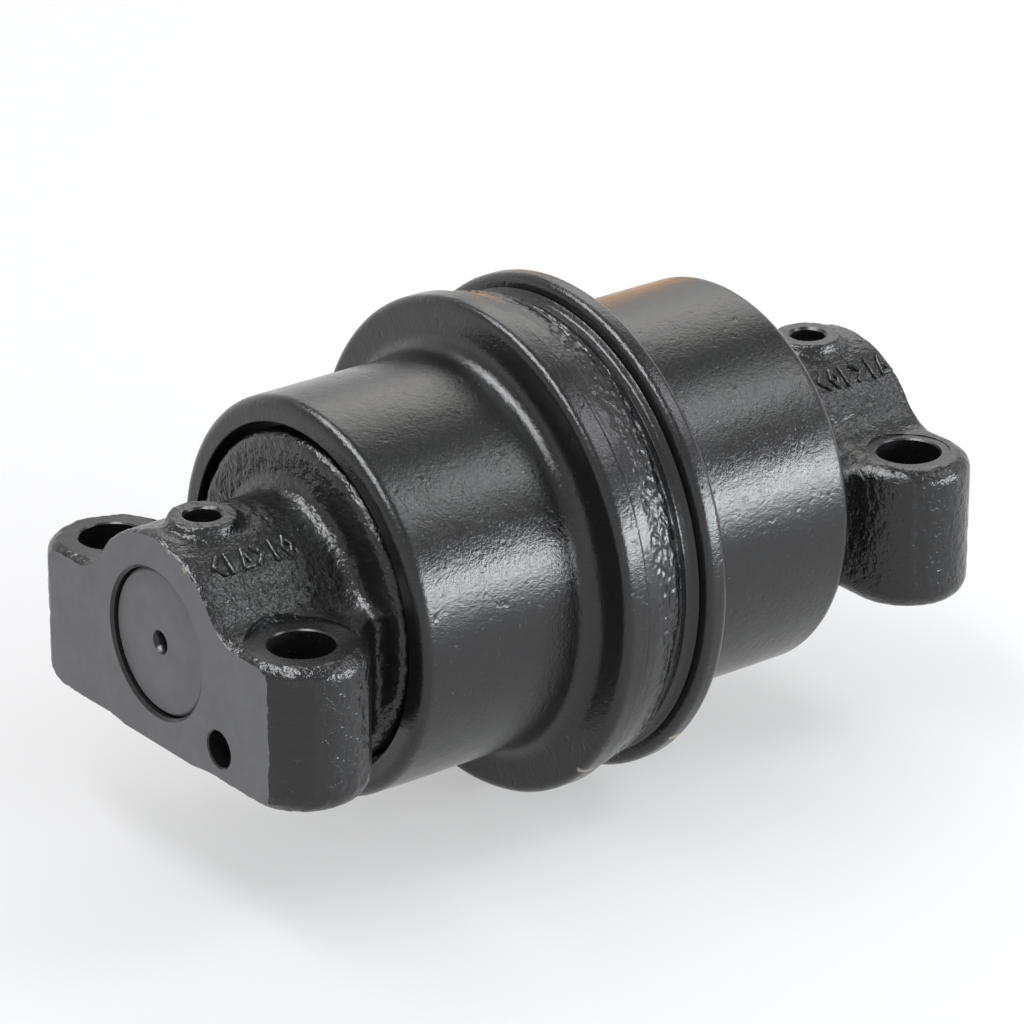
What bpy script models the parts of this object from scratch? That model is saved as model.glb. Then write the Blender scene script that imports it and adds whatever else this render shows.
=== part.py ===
"""Track roller: a two-flanged roller that spins on a fixed shaft held by two cast collars.

The roller's axis is Y. The origin is the roller's centre, +Z points away from the collars' mounting pads, and
the front is the end with the oil plug, at -Y. Lengths are in metres.
"""

from math import atan2, cos, pi, radians, sin, tan

import bmesh
import bpy
from mathutils import Matrix, Vector

MM = 0.001

# Clearances.
GAP = 0.3 * MM  # between pieces that touch, and round a piece in its hole
END_PLAY = 0.4 * MM  # between a bushing's thrust face and the collar's spigot, at each end
SEAL_PLAY = 1.0 * MM  # round a seal ring inside its housing
LABYRINTH_GAP = 2.5 * MM  # between the collar's disc and the mouth of the shell

# Radii and walls, from the shaft outwards.
SHAFT_RADIUS = 25.0 * MM
SHAFT_RELIEF = 1.4 * MM  # how much thinner the shaft is in its middle
BUSHING_WALL = 4.7 * MM
BUSHING_FLANGE_RISE = 6.0 * MM
SPIGOT_WALL = 5.7 * MM
SEAL_BORE_PLAY = 1.2 * MM
SEAL_BODY_WALL = 3.0 * MM
SEAL_TAPER = 1.0 * MM
SEAL_LIP_RISE = 3.8 * MM
DISC_RIM = 16.0 * MM  # from the seal housing to the disc's edge
SHELL_LIP = 8.7 * MM  # wall between the shell's mouth and its tread
FLANGE_HEIGHT = 17.8 * MM
BOSS_WALL = 12.7 * MM

# Lengths, from the roller's centre outwards.
FLANGE_INNER_FACE = 12.5 * MM
FLANGE_WIDTH = 9.0 * MM
OIL_SPACE_HALF = 24.0 * MM
OIL_SPACE_DEPTH = 4.0 * MM
BUSHING_SLEEVE = 38.0 * MM
BUSHING_FLANGE_WIDTH = 4.0 * MM
SEAL_FOOT_SPACE = 2.0 * MM  # between a bushing's thrust face and the bottom of the seal housing
SEAL_HOUSING_DEPTH = 9.0 * MM
SEAL_LIP_WIDTH = 2.6 * MM
SEAL_FACE_GAP = 1.0 * MM  # between the shell and the disc, where the two seal rings meet
SEAL_FOOT_PLAY = 0.5 * MM
MOUTH_DEPTH = 13.2 * MM
DISC_WIDTH = 13.5 * MM
NECK_LENGTH = 14.5 * MM
SHAFT_RECESS = 1.8 * MM

# Roller surface.
SHELL_END_ROUND = 4.5 * MM
FLANGE_FILLET = 7.0 * MM
FLANGE_ROUND = 3.0 * MM
GROOVE_TOP_DEPTH = 8.0 * MM  # from the flange's rim down to the start of the welding groove
GROOVE_DEPTH = 12.0 * MM
GROOVE_ROOT_HALF = 2.0 * MM
WELD_FRONT_DEPTH = 1.6 * MM  # below the rim beside the front flange
WELD_REAR_DEPTH = 7.0 * MM  # below the rim beside the rear flange
WELD_VALLEY_DEPTH = 7.6 * MM
WELD_VALLEY_Y = 8.5 * MM
WELD_SHOULDER_DEPTH = 5.2 * MM
WELD_SHOULDER_Y = 4.0 * MM

# Collars.
BOLT_HOLE_RADIUS = 11.0 * MM
EAR_WALL = 10.5 * MM
FACE_CUT = 2.0 * MM  # how far the machined face cuts into the ears' front
BOLT_INSET = 15.5 * MM  # from the boss to a bolt hole's axis
SPOT_WALL = 7.5 * MM
SPOT_DEPTH = 1.0 * MM
EAR_TOP = 15.0 * MM
PAD_TRIM = 2.0 * MM  # how far the machined pad cuts into the boss
WEB_OVERHANG = 4.5 * MM  # from the boss's side to the side of the web, where it meets the disc
WEB_SPREAD = 18.5 * MM  # how much farther out its side is at the saddle, along X
WEB_TOP_DROP = 2.5 * MM  # from the ears' top down to the web's
WEB_ABOVE_PAD = 4.0 * MM
WEB_IN_SADDLE = 3.0 * MM
WEB_ROUND = 6.0 * MM
EAR_ROUND = 4.5 * MM
BOSS_CHAMFER = 3.0 * MM
DISC_ROUND = 4.5 * MM
NECK_FILLET = 6.0 * MM
BORE_CHAMFER = 1.2 * MM
NUB_WALL = 6.0 * MM
NUB_HEIGHT = 2.5 * MM

# Seals, pins and plug.
O_RING_GROOVE_DEPTH = 3.1 * MM
O_RING_GROOVE_WIDTH = 4.0 * MM
O_RING_INSET = 2.0 * MM  # from the ears' back to the groove
RUBBER_RADIUS = 2.0 * MM
PIN_RADIUS = 5.7 * MM
PIN_PAST_AXIS = 14.7 * MM
PIN_BELOW_NUB = 9.5 * MM
PIN_CHAMFER = 1.0 * MM
PLUG_RADIUS = 5.9 * MM
PLUG_LENGTH = 9.7 * MM
PLUG_SUNK = 8.0 * MM
PLUG_SOCKET_ACROSS_FLATS = 6.0 * MM
PLUG_SOCKET_DEPTH = 5.0 * MM
PLUG_INSIDE_BOSS = 3.5 * MM  # from the boss's side to the plug's axis, along X
PLUG_ABOVE_PAD = 11.5 * MM
PLUG_CHAMFER = 0.6 * MM
OIL_WAY_RADIUS = 2.2 * MM
CENTRE_HOLE_RADIUS = 4.1 * MM
CENTRE_HOLE_DEPTH = 12.0 * MM
RELIEF_INSET = 2.0 * MM  # from a bushing's inner end to the start of the shaft's thin middle

# Facets round the big turned pieces, the shaft and bolt holes, the inner rings, and the small holes.
FACETS_LARGE = 36
FACETS_MEDIUM = 32
FACETS_RING = 24
FACETS_SMALL = 12
FACETS_SECTION = 6  # round the section of a rubber ring
ARC_STEPS = 3  # in each rounded corner
SHARP_ANGLE = radians(32)
WELD_DISTANCE = 0.01 * MM  # points closer than this are one

# Derived radii.
BORE = SHAFT_RADIUS + GAP
BUSHING_OUTER = BORE + BUSHING_WALL
BUSHING_FLANGE = BUSHING_OUTER + BUSHING_FLANGE_RISE
SPIGOT = BORE + SPIGOT_WALL
SEAL_BORE = SPIGOT + SEAL_BORE_PLAY
SEAL_BODY = SEAL_BORE + SEAL_BODY_WALL
SEAL_LIP = SEAL_BODY + SEAL_TAPER + SEAL_LIP_RISE
SEAL_HOUSING = SEAL_LIP + SEAL_PLAY
DISC = SEAL_HOUSING + DISC_RIM
MOUTH = DISC + LABYRINTH_GAP
TREAD = MOUTH + SHELL_LIP
FLANGE = TREAD + FLANGE_HEIGHT
BOSS = BORE + BOSS_WALL

# Derived places along the axis, as distances from the roller's centre.
FLANGE_OUTER_FACE = FLANGE_INNER_FACE + FLANGE_WIDTH
THRUST_FACE = OIL_SPACE_HALF + BUSHING_SLEEVE + BUSHING_FLANGE_WIDTH
SPIGOT_END = THRUST_FACE + END_PLAY
SHELL_SEAL_FLOOR = THRUST_FACE + SEAL_FOOT_SPACE
MOUTH_FLOOR = SHELL_SEAL_FLOOR + SEAL_HOUSING_DEPTH
SEAL_PLANE = MOUTH_FLOOR + SEAL_FACE_GAP / 2
DISC_BACK = MOUTH_FLOOR + SEAL_FACE_GAP
COLLAR_SEAL_FLOOR = DISC_BACK + SEAL_HOUSING_DEPTH
SHELL_END = MOUTH_FLOOR + MOUTH_DEPTH
DISC_FRONT = DISC_BACK + DISC_WIDTH
EAR_RADIUS = BOLT_HOLE_RADIUS + EAR_WALL
HOLE_Y = DISC_FRONT + NECK_LENGTH + EAR_RADIUS
FACE = HOLE_Y + EAR_RADIUS - FACE_CUT
SHAFT_END = FACE - SHAFT_RECESS

# Derived places across the axis.
BOLT_X = BOSS + BOLT_INSET
PAD = -(BOSS - PAD_TRIM)
NUB_TOP = BOSS + NUB_HEIGHT
PIN_HOLE = PIN_RADIUS + GAP
PLUG_X = BOSS - PLUG_INSIDE_BOSS
PLUG_Z = PAD + PLUG_ABOVE_PAD
PLUG_SEAT_FLOOR = FACE - PLUG_SUNK - PLUG_LENGTH - GAP

# Derived grooves and their fillings.
GROOVE_TOP = FLANGE - GROOVE_TOP_DEPTH
GROOVE_ROOT = GROOVE_TOP - GROOVE_DEPTH
SHELL_BORE = BUSHING_OUTER + GAP
O_RING_Y = HOLE_Y - EAR_RADIUS - O_RING_INSET - O_RING_GROOVE_WIDTH / 2
O_RING_SECTION = (O_RING_GROOVE_DEPTH + GAP) / 2 - GAP

# Cutters.
PAST = 5 * MM  # how far a hole's cutter reaches past the wall it cuts
FAR = 20 * MM  # the same for the cutters that trim a whole side

parts = bpy.data.collections.new("track_roller")
helpers = bpy.data.collections.new("cutters")


def clear_scene():
    """Empties the scene, then adds the collections of the parts and of their cutters."""
    for obj in list(bpy.data.objects):
        bpy.data.objects.remove(obj, do_unlink=True)
    bpy.context.scene.collection.children.link(parts)
    bpy.context.scene.collection.children.link(helpers)


def material(name, colour, roughness, metallic):
    """A plain finish for a piece."""
    made = bpy.data.materials.new(name)
    made.use_nodes = True
    made.diffuse_color = (*colour, 1)
    shader = made.node_tree.nodes["Principled BSDF"]
    shader.inputs["Base Color"].default_value = (*colour, 1)
    shader.inputs["Roughness"].default_value = roughness
    shader.inputs["Metallic"].default_value = metallic
    return made


def rounded(outline, is_closed):
    """The outline with each corner that carries a third number replaced by an arc of that radius."""
    points = []
    for i, (x, y, *radius) in enumerate(outline):
        corner = Vector((x, y))
        if not radius or (not is_closed and i in (0, len(outline) - 1)):
            points.append(corner)
            continue
        back = (Vector(outline[i - 1][:2]) - corner).normalized()
        ahead = (Vector(outline[(i + 1) % len(outline)][:2]) - corner).normalized()
        half_angle = back.angle(ahead) / 2
        centre = corner + (back + ahead).normalized() * radius[0] / sin(half_angle)
        start = corner + back * radius[0] / tan(half_angle) - centre
        turn = pi - 2 * half_angle
        if back.x * ahead.y - back.y * ahead.x > 0:
            turn = -turn
        for step in range(ARC_STEPS + 1):
            angle = atan2(start.y, start.x) + turn * step / ARC_STEPS
            points.append(centre + radius[0] * Vector((cos(angle), sin(angle))))
    return points


def turned(name, outline, facets, skin, side, is_closed=True):
    """A turned piece. The outline of (radius, height) runs down the outer side and, when it is closed, back
    up the bore. When it isn't, both of its ends are on the axis. Side 1 points its heights to the rear, -1
    to the front, and 0 leaves them upright."""
    points = rounded(outline, is_closed)
    mesh = bpy.data.meshes.new(name)
    edges = [(i, i + 1) for i in range(len(points) - 1)]
    if is_closed:
        edges.append((len(points) - 1, 0))
    mesh.from_pydata([(point.x, 0, point.y) for point in points], edges, [])
    mesh.materials.append(skin)
    obj = bpy.data.objects.new(name, mesh)
    parts.objects.link(obj)
    obj.rotation_euler.x = -side * pi / 2
    screw = obj.modifiers.new("turn", "SCREW")
    screw.axis = "Z"
    screw.angle = 2 * pi
    screw.steps = facets
    screw.render_steps = facets
    screw.use_merge_vertices = True
    screw.merge_threshold = WELD_DISTANCE
    screw.use_smooth_shade = True
    return obj


def helper(obj):
    """Keeps a cutter or a guide out of the model."""
    obj.hide_render = True
    obj.display_type = "WIRE"
    return obj


def rod(name, start, end, radius, end_radius=None, facets=FACETS_MEDIUM):
    """A cylinder or cone between two points, in the helpers' collection."""
    start, end = Vector(start), Vector(end)
    shape = bmesh.new()
    bmesh.ops.create_cone(
        shape,
        cap_ends=True,
        segments=facets,
        radius1=radius,
        radius2=radius if end_radius is None else end_radius,
        depth=(end - start).length,
    )
    mesh = bpy.data.meshes.new(name)
    shape.to_mesh(mesh)
    shape.free()
    obj = bpy.data.objects.new(name, mesh)
    helpers.objects.link(obj)
    turn = (end - start).to_track_quat("Z", "Y").to_matrix().to_4x4()
    obj.matrix_world = Matrix.Translation((start + end) / 2) @ turn
    return helper(obj)


def block(name, low, high):
    """A box between two opposite corners, in the helpers' collection."""
    pairs = list(zip(low, high))
    low, high = Vector(map(min, pairs)), Vector(map(max, pairs))
    shape = bmesh.new()
    bmesh.ops.create_cube(shape, size=1, matrix=Matrix.Diagonal((*(high - low), 1)))
    mesh = bpy.data.meshes.new(name)
    shape.to_mesh(mesh)
    shape.free()
    obj = bpy.data.objects.new(name, mesh)
    helpers.objects.link(obj)
    obj.location = (low + high) / 2
    return helper(obj)


def combine(obj, operation, others):
    """Adds a Boolean to the piece for each of the other solids."""
    for other in others:
        step = obj.modifiers.new(other.name, "BOOLEAN")
        step.operation = operation
        step.solver = "EXACT"
        step.object = other


def saddle(name, side):
    """The casting's two ears and the bar between them: a flat outline with half-round ends and soft edges."""
    curve = bpy.data.curves.new(name, "CURVE")
    curve.dimensions = "2D"
    curve.fill_mode = "BOTH"
    curve.extrude = (EAR_TOP - PAD) / 2
    steps = FACETS_MEDIUM // 2
    spline = curve.splines.new("POLY")
    spline.points.add(2 * steps + 1)
    for i in range(2 * steps + 2):
        end = 1 if i <= steps else -1
        angle = -pi / 2 + pi * (i if end > 0 else i - 1) / steps
        x = end * BOLT_X + EAR_RADIUS * cos(angle)
        y = EAR_RADIUS * sin(angle)
        spline.points[i].co = (x, y, 0, 1)
    spline.use_cyclic_u = True
    drawn = bpy.data.objects.new(name + "_curve", curve)
    drawn.location = (0, side * HOLE_Y, (EAR_TOP + PAD) / 2)
    helpers.objects.link(drawn)
    bpy.context.view_layer.update()
    graph = bpy.context.evaluated_depsgraph_get()
    mesh = bpy.data.meshes.new_from_object(drawn.evaluated_get(graph))
    shape = bmesh.new()
    shape.from_mesh(mesh)
    bmesh.ops.remove_doubles(shape, verts=shape.verts, dist=WELD_DISTANCE)
    bmesh.ops.recalc_face_normals(shape, faces=shape.faces)
    shape.to_mesh(mesh)
    shape.free()
    obj = bpy.data.objects.new(name, mesh)
    obj.matrix_world = drawn.matrix_world.copy()
    helpers.objects.link(obj)
    bpy.data.objects.remove(drawn, do_unlink=True)
    bevel = obj.modifiers.new("round", "BEVEL")
    bevel.width = EAR_ROUND
    bevel.segments = ARC_STEPS
    bevel.use_clamp_overlap = False
    bevel.limit_method = "ANGLE"
    bevel.angle_limit = SHARP_ANGLE
    return helper(obj)


def web(name, side):
    """The wedge between the disc and the saddle: narrow at the disc, with its long edges rounded."""
    narrow = BOSS + WEB_OVERHANG
    far_out = HOLE_Y - EAR_RADIUS + WEB_IN_SADDLE
    slope = WEB_SPREAD / (far_out - DISC_FRONT)
    near_out = (COLLAR_SEAL_FLOOR + DISC_FRONT) / 2
    low, high = PAD + WEB_ABOVE_PAD, EAR_TOP - WEB_TOP_DROP
    shape = bmesh.new()
    for out in (near_out, far_out):
        half = narrow + slope * (out - DISC_FRONT)
        section = [(half, low), (half, high), (-half, high), (-half, low)]
        for x, z in rounded([(*corner, WEB_ROUND) for corner in section], True):
            shape.verts.new((x, side * out, z))
    bmesh.ops.convex_hull(shape, input=shape.verts)
    mesh = bpy.data.meshes.new(name)
    shape.to_mesh(mesh)
    shape.free()
    obj = bpy.data.objects.new(name, mesh)
    helpers.objects.link(obj)
    return helper(obj)


def oil_way(name, side):
    """A rod along the slanting way from the plug's seat to the seal housing, and a little past both ends."""
    plug = Vector((-side * PLUG_X, PLUG_Z))
    inner = plug.normalized() * (SPIGOT + SEAL_HOUSING) / 2
    start = Vector((plug.x, side * PLUG_SEAT_FLOOR, plug.y))
    end = Vector((inner.x, side * COLLAR_SEAL_FLOOR, inner.y))
    reach = (end - start).normalized() * OIL_WAY_RADIUS
    return rod(name, start - reach, end + reach, OIL_WAY_RADIUS, facets=FACETS_SMALL)


def collar_additions(name, side):
    """What the casting has besides its boss and disc: the saddle, the web behind it and the pin's nub."""
    hole_y = side * HOLE_Y
    nub = rod(name + "_nub", (0, hole_y, 0), (0, hole_y, NUB_TOP), PIN_HOLE + NUB_WALL, facets=FACETS_RING)
    return [saddle(name + "_saddle", side), web(name + "_web", side), nub]


def collar_cuts(name, side, has_plug):
    """The machined face and pad, the bore, the spot-faced bolt holes, and the pin's and plug's holes."""
    hole_y = side * HOLE_Y
    face_y = side * FACE
    far_y = side * (FACE + FAR)
    wide = BOLT_X + EAR_RADIUS + FAR
    seat_z = EAR_TOP - SPOT_DEPTH
    cuts = [
        block(name + "_face_cut", (-wide, face_y, -wide), (wide, far_y, wide)),
        block(name + "_pad_cut", (-wide, side * (HOLE_Y - EAR_RADIUS), -wide), (wide, far_y, PAD)),
        rod(name + "_bore", (0, side * (SPIGOT_END - PAST), 0), (0, far_y, 0), BORE, facets=FACETS_LARGE),
        rod(
            name + "_bore_mouth",
            (0, side * (FACE - BORE_CHAMFER), 0),
            (0, side * (FACE + BORE_CHAMFER), 0),
            BORE,
            BORE + 2 * BORE_CHAMFER,
            facets=FACETS_LARGE,
        ),
        rod(name + "_pin_hole", (0, hole_y, 0), (0, hole_y, NUB_TOP + PAST), PIN_HOLE, facets=FACETS_RING),
    ]
    for ear in (-1, 1):
        x = ear * BOLT_X
        label = f"{name}_{'right' if ear > 0 else 'left'}"
        low, seat, high = (x, hole_y, PAD - PAST), (x, hole_y, seat_z), (x, hole_y, EAR_TOP + PAST)
        cuts.append(rod(label + "_bolt_hole", low, high, BOLT_HOLE_RADIUS))
        cuts.append(rod(label + "_spot_face", seat, high, BOLT_HOLE_RADIUS + SPOT_WALL))
    if has_plug:
        x = -side * PLUG_X
        floor = (x, side * PLUG_SEAT_FLOOR, PLUG_Z)
        mouth = (x, far_y, PLUG_Z)
        cuts.append(rod(name + "_plug_seat", floor, mouth, PLUG_RADIUS + GAP, facets=FACETS_RING))
        cuts.append(oil_way(name + "_oil_way", side))
    return cuts


def collar(name, side, paint, has_plug):
    """One end's casting: boss round the shaft, sealing disc, spigot, and the saddle with its bolt ears."""
    outline = [
        (0, FACE),
        (BOSS - BOSS_CHAMFER, FACE),
        (BOSS, FACE - BOSS_CHAMFER),
        (BOSS, DISC_FRONT, NECK_FILLET),
        (DISC, DISC_FRONT, DISC_ROUND),
        (DISC, DISC_BACK),
        (SEAL_HOUSING, DISC_BACK),
        (SEAL_HOUSING, COLLAR_SEAL_FLOOR),
        (SPIGOT, COLLAR_SEAL_FLOOR),
        (SPIGOT, SPIGOT_END),
        (0, SPIGOT_END),
    ]
    obj = turned(name, outline, FACETS_LARGE, paint, side, is_closed=False)
    combine(obj, "UNION", collar_additions(name, side))
    combine(obj, "DIFFERENCE", collar_cuts(name, side, has_plug))
    return obj


def shaft(steel):
    """The fixed shaft: thinner in its middle, grooved for the two O-rings, drilled for the two lock pins."""
    relief_end = OIL_SPACE_HALF - RELIEF_INSET
    groove = SHAFT_RADIUS - O_RING_GROOVE_DEPTH
    half = [
        (SHAFT_RADIUS - BORE_CHAMFER, SHAFT_END),
        (SHAFT_RADIUS, SHAFT_END - BORE_CHAMFER),
        (SHAFT_RADIUS, O_RING_Y + O_RING_GROOVE_WIDTH / 2),
        (groove, O_RING_Y + O_RING_GROOVE_WIDTH / 2),
        (groove, O_RING_Y - O_RING_GROOVE_WIDTH / 2),
        (SHAFT_RADIUS, O_RING_Y - O_RING_GROOVE_WIDTH / 2),
        (SHAFT_RADIUS, relief_end),
        (SHAFT_RADIUS - SHAFT_RELIEF, relief_end - SHAFT_RELIEF),
    ]
    mirrored = [(radius, -height) for radius, height in reversed(half)]
    outline = [(0, SHAFT_END), *half, *mirrored, (0, -SHAFT_END)]
    obj = turned("shaft", outline, FACETS_MEDIUM, steel, 1, is_closed=False)
    holes = []
    for side, end in ((-1, "front"), (1, "rear")):
        pin_y = side * HOLE_Y
        floor = (0, pin_y, -PIN_PAST_AXIS - GAP)
        mouth = (0, pin_y, SHAFT_RADIUS + PAST)
        holes.append(rod(f"shaft_{end}_pin_hole", floor, mouth, PIN_HOLE, facets=FACETS_RING))
        floor = (0, side * (SHAFT_END - CENTRE_HOLE_DEPTH), 0)
        mouth = (0, side * (SHAFT_END + PAST), 0)
        holes.append(rod(f"shaft_{end}_centre", floor, mouth, CENTRE_HOLE_RADIUS, facets=FACETS_SMALL))
    combine(obj, "DIFFERENCE", holes)
    return obj


def shell_half(name, side, steel):
    """One forged half of the roller: tread, flange, half of the welding groove, and the stepped bore."""
    outline = [
        (TREAD, SHELL_END, SHELL_END_ROUND),
        (TREAD, FLANGE_OUTER_FACE, FLANGE_FILLET),
        (FLANGE, FLANGE_OUTER_FACE, FLANGE_ROUND),
        (FLANGE, FLANGE_INNER_FACE),
        (GROOVE_TOP, FLANGE_INNER_FACE),
        (GROOVE_ROOT, GROOVE_ROOT_HALF),
        (GROOVE_ROOT, GAP / 2),
        (SHELL_BORE + OIL_SPACE_DEPTH, GAP / 2),
        (SHELL_BORE + OIL_SPACE_DEPTH, OIL_SPACE_HALF),
        (SHELL_BORE, OIL_SPACE_HALF),
        (SHELL_BORE, THRUST_FACE - BUSHING_FLANGE_WIDTH - GAP),
        (BUSHING_FLANGE + GAP, THRUST_FACE - BUSHING_FLANGE_WIDTH - GAP),
        (BUSHING_FLANGE + GAP, SHELL_SEAL_FLOOR),
        (SEAL_HOUSING, SHELL_SEAL_FLOOR),
        (SEAL_HOUSING, MOUTH_FLOOR),
        (MOUTH, MOUTH_FLOOR),
        (MOUTH, SHELL_END),
    ]
    return turned(name, outline, FACETS_LARGE, steel, side)


def centre_weld(bead):
    """The weld that joins the halves: nearly flush with the front flange, and sunk beside the rear one."""
    edge = FLANGE_INNER_FACE - GAP
    root = GROOVE_ROOT_HALF - GAP
    outline = [
        (FLANGE - WELD_REAR_DEPTH, edge),
        (FLANGE - WELD_VALLEY_DEPTH, WELD_VALLEY_Y),
        (FLANGE - WELD_SHOULDER_DEPTH, WELD_SHOULDER_Y),
        (FLANGE - WELD_FRONT_DEPTH, -edge),
        (GROOVE_TOP, -edge),
        (GROOVE_ROOT + GAP, -root),
        (GROOVE_ROOT + GAP, root),
        (GROOVE_TOP, edge),
    ]
    return turned("centre_weld", outline, FACETS_LARGE, bead, 1)


def bushing(name, side, bronze):
    """A bronze bushing pressed into the shell, with the flange that takes the roller's end thrust."""
    shoulder = THRUST_FACE - BUSHING_FLANGE_WIDTH
    outline = [
        (BUSHING_FLANGE, THRUST_FACE),
        (BUSHING_FLANGE, shoulder),
        (BUSHING_OUTER, shoulder),
        (BUSHING_OUTER, OIL_SPACE_HALF),
        (BORE, OIL_SPACE_HALF),
        (BORE, THRUST_FACE),
    ]
    return turned(name, outline, FACETS_RING, bronze, side)


def seal_ring(name, side, outward, iron):
    """One metal ring of a face seal. Outward is 1 for the collar's ring and -1 for the shell's."""
    foot = SEAL_FACE_GAP / 2 + SEAL_HOUSING_DEPTH - SEAL_FOOT_PLAY
    near = GAP / 2
    section = [
        (SEAL_BODY, foot),
        (SEAL_BODY + SEAL_TAPER, near + SEAL_LIP_WIDTH),
        (SEAL_LIP, near + SEAL_LIP_WIDTH),
        (SEAL_LIP, near),
        (SEAL_BORE, near),
        (SEAL_BORE, foot),
    ]
    outline = [(radius, SEAL_PLANE + outward * height) for radius, height in section[::outward]]
    return turned(name, outline, FACETS_RING, iron, side)


def ring(name, side, at, ring_radius, section_radius, rubber):
    """A rubber ring of round section, centred on the shaft at a distance from the roller's centre."""
    angles = [pi / 2 - 2 * pi * i / FACETS_SECTION for i in range(FACETS_SECTION)]
    section = [(ring_radius + section_radius * cos(a), at + section_radius * sin(a)) for a in angles]
    return turned(name, section, FACETS_RING, rubber, side)


def lock_pin(name, side, steel):
    """The pin that locks a collar to the shaft, dropped down the hole in the collar's nub."""
    top = NUB_TOP - PIN_BELOW_NUB
    outline = [
        (0, top),
        (PIN_RADIUS - PIN_CHAMFER, top),
        (PIN_RADIUS, top - PIN_CHAMFER),
        (PIN_RADIUS, PIN_CHAMFER - PIN_PAST_AXIS),
        (PIN_RADIUS - PIN_CHAMFER, -PIN_PAST_AXIS),
        (0, -PIN_PAST_AXIS),
    ]
    obj = turned(name, outline, FACETS_RING, steel, 0, is_closed=False)
    obj.location = (0, side * HOLE_Y, 0)
    return obj


def oil_plug(steel):
    """The socket plug sunk into the front collar's face, which closes the oil way."""
    outer = FACE - PLUG_SUNK
    inner = outer - PLUG_LENGTH
    outline = [
        (0, outer),
        (PLUG_RADIUS - PLUG_CHAMFER, outer),
        (PLUG_RADIUS, outer - PLUG_CHAMFER),
        (PLUG_RADIUS, inner + PLUG_CHAMFER),
        (PLUG_RADIUS - PLUG_CHAMFER, inner),
        (0, inner),
    ]
    obj = turned("oil_plug", outline, FACETS_RING, steel, -1, is_closed=False)
    obj.location = (PLUG_X, 0, PLUG_Z)
    socket_radius = PLUG_SOCKET_ACROSS_FLATS / 2 / cos(pi / 6)
    floor = (PLUG_X, -(outer - PLUG_SOCKET_DEPTH), PLUG_Z)
    mouth = (PLUG_X, -(outer + PAST), PLUG_Z)
    combine(obj, "DIFFERENCE", [rod("plug_socket", floor, mouth, socket_radius, facets=6)])
    return obj


def settle(obj):
    """Applies the piece's modifiers, then shades it smooth except across its sharp edges."""
    graph = bpy.context.evaluated_depsgraph_get()
    mesh = bpy.data.meshes.new_from_object(obj.evaluated_get(graph))
    mesh.name = obj.name
    obj.modifiers.clear()
    obj.data = mesh
    mesh.shade_smooth()
    mesh.set_sharp_from_angle(angle=SHARP_ANGLE)


def build():
    clear_scene()
    black_paint = material("black_paint", (0.016, 0.017, 0.019), 0.35, 0.0)
    ground_steel = material("ground_steel", (0.42, 0.42, 0.43), 0.25, 1.0)
    seal_iron = material("seal_iron", (0.30, 0.30, 0.31), 0.3, 1.0)
    bronze = material("bronze", (0.48, 0.30, 0.13), 0.35, 1.0)
    rubber = material("rubber", (0.02, 0.02, 0.02), 0.7, 0.0)
    dark_steel = material("dark_steel", (0.06, 0.06, 0.065), 0.4, 1.0)
    shaft(ground_steel)
    centre_weld(black_paint)
    rubber_middle = (SEAL_LIP_WIDTH + SEAL_HOUSING_DEPTH) / 2
    rubber_radius = (SEAL_BODY + SEAL_TAPER / 2 + SEAL_HOUSING) / 2
    for side, end in ((-1, "front"), (1, "rear")):
        shell_half(f"shell_half_{end}", side, black_paint)
        collar(f"collar_{end}", side, black_paint, has_plug=side < 0)
        bushing(f"bushing_{end}", side, bronze)
        for outward, place in ((1, "fixed"), (-1, "turning")):
            seal_ring(f"seal_ring_{place}_{end}", side, outward, seal_iron)
            middle = SEAL_PLANE + outward * rubber_middle
            ring(f"seal_rubber_{place}_{end}", side, middle, rubber_radius, RUBBER_RADIUS, rubber)
        o_ring_radius = BORE - O_RING_SECTION - GAP
        ring(f"shaft_o_ring_{end}", side, O_RING_Y, o_ring_radius, O_RING_SECTION, rubber)
        lock_pin(f"lock_pin_{end}", side, dark_steel)
    oil_plug(dark_steel)
    bpy.context.view_layer.update()
    for obj in parts.objects:
        settle(obj)


build()
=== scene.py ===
# %% [markdown]
# A track roller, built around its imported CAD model
#
# This roller carries the weight of a crawler machine on its chain. Two forged shell halves, welded
# together, turn on a fixed shaft, and a cast collar at each end holds the shaft and bolts to the
# track frame. The CAD model gives every size and the one joint. Here we build what the eye sees:
# fine forged and cast skins, the weld bead and the black paint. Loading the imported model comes
# first, because each new piece is placed by it and rides on one of its bodies.

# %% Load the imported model
from math import pi, radians

import bpy
import numpy as np
from mathutils import Matrix, Vector


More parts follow.
